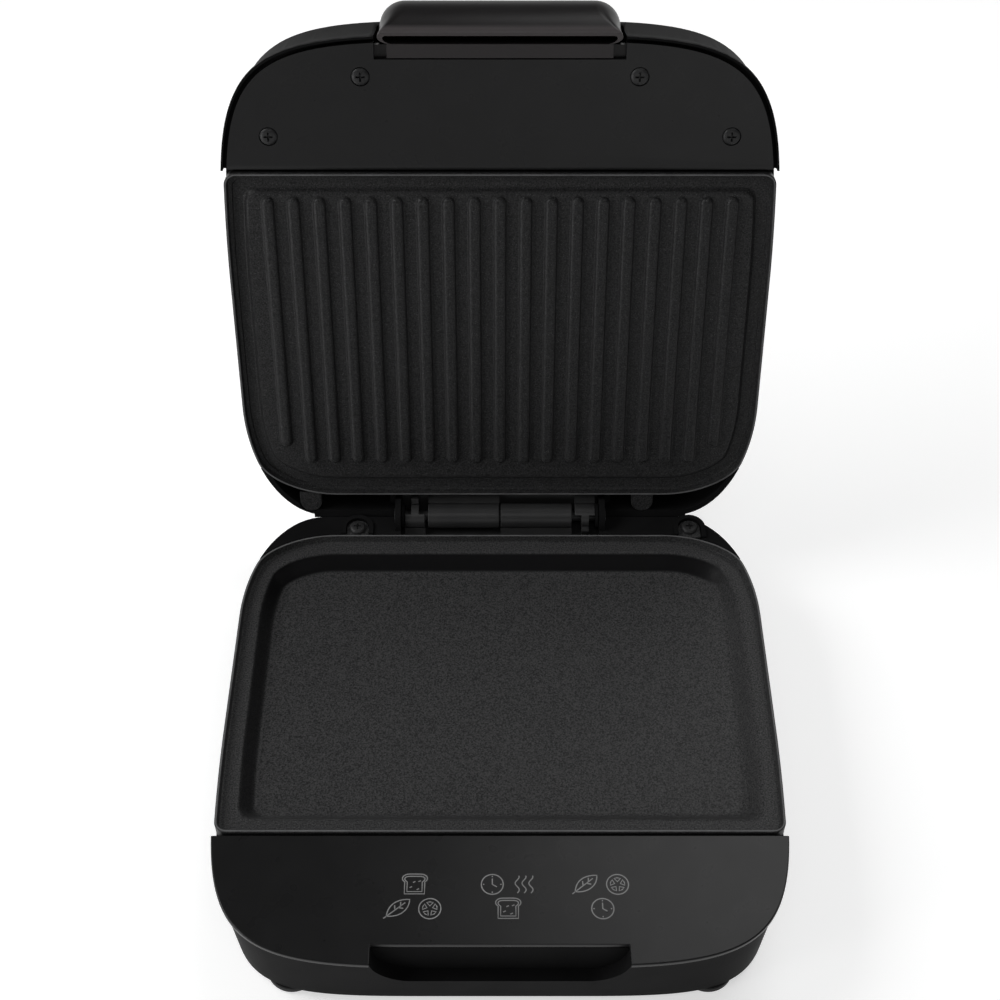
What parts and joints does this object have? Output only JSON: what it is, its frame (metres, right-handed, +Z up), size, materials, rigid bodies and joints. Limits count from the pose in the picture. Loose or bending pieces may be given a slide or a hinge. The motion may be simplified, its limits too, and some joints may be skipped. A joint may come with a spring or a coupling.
{
  "type": "sandwich grill",
  "caption": "Hinged table grill, lid open: flat pan plate in the base, ribbed plate in the lid, finger scoop and cup-shaped lid handle.",
  "frame": {"origin": "centre of the opened grill's bounding box, on the plane of the feet", "axes": "+X along the hinge axis, +Y from the front with the finger scoop to the hinge, +Z up"},
  "size_m": [0.24, 0.3304, 0.2749],
  "materials": {
    "housing": "fine satin",
    "cover": "satin",
    "handle": "satin",
    "coating": "speckled non-stick",
    "steel": "plain",
    "aluminium": "mill",
    "dark_steel": "oxidised",
    "rubber": "matt",
    "ceramic": "matt",
    "red_lens": "gloss",
    "green_lens": "gloss"
  },
  "bodies": {
    "base": {"base_shell": "housing", "base_front_cover": "cover", "lower_plate": "coating", "lower_plate_screw_left": "steel", "lower_plate_screw_right": "steel", "lower_heater": "dark_steel", "lower_heat_shield": "aluminium", "lower_shield_screw_rear": "steel", "lower_shield_screw_front": "steel", "lower_thermostat": "aluminium", "thermal_fuse": "ceramic", "terminal_block": "ceramic", "cord_gland": "rubber", "bottom_cover": "housing", "bottom_screw_1": "steel", "bottom_screw_2": "steel", "bottom_screw_3": "steel", "bottom_screw_4": "steel", "foot_1": "rubber", "foot_2": "rubber", "foot_3": "rubber", "foot_4": "rubber", "base_hinge_bracket": "housing", "base_hinge_screw_1": "steel", "base_hinge_screw_2": "steel", "hinge_pin": "steel"},
    "lid": {"lid_shell": "housing", "lid_front_panel": "cover", "panel_screw_1": "steel", "panel_screw_2": "steel", "panel_screw_3": "steel", "panel_screw_4": "steel", "handle": "handle", "upper_plate": "coating", "upper_heater": "dark_steel", "upper_heat_shield": "aluminium", "upper_shield_screw_rear": "steel", "upper_shield_screw_front": "steel", "upper_thermostat": "aluminium", "lid_hinge_bracket": "housing", "lid_hinge_screw_1": "steel", "lid_hinge_screw_2": "steel", "power_lamp": "red_lens", "ready_lamp": "green_lens"}
  },
  "joints": [
    {"name": "lid_hinge", "type": "hinge", "parent": "base", "child": "lid", "pos_m": [0, 0.06681, 0.0463], "axis": [1, 0, 0], "range_deg": [0, 105.9]}
  ]
}
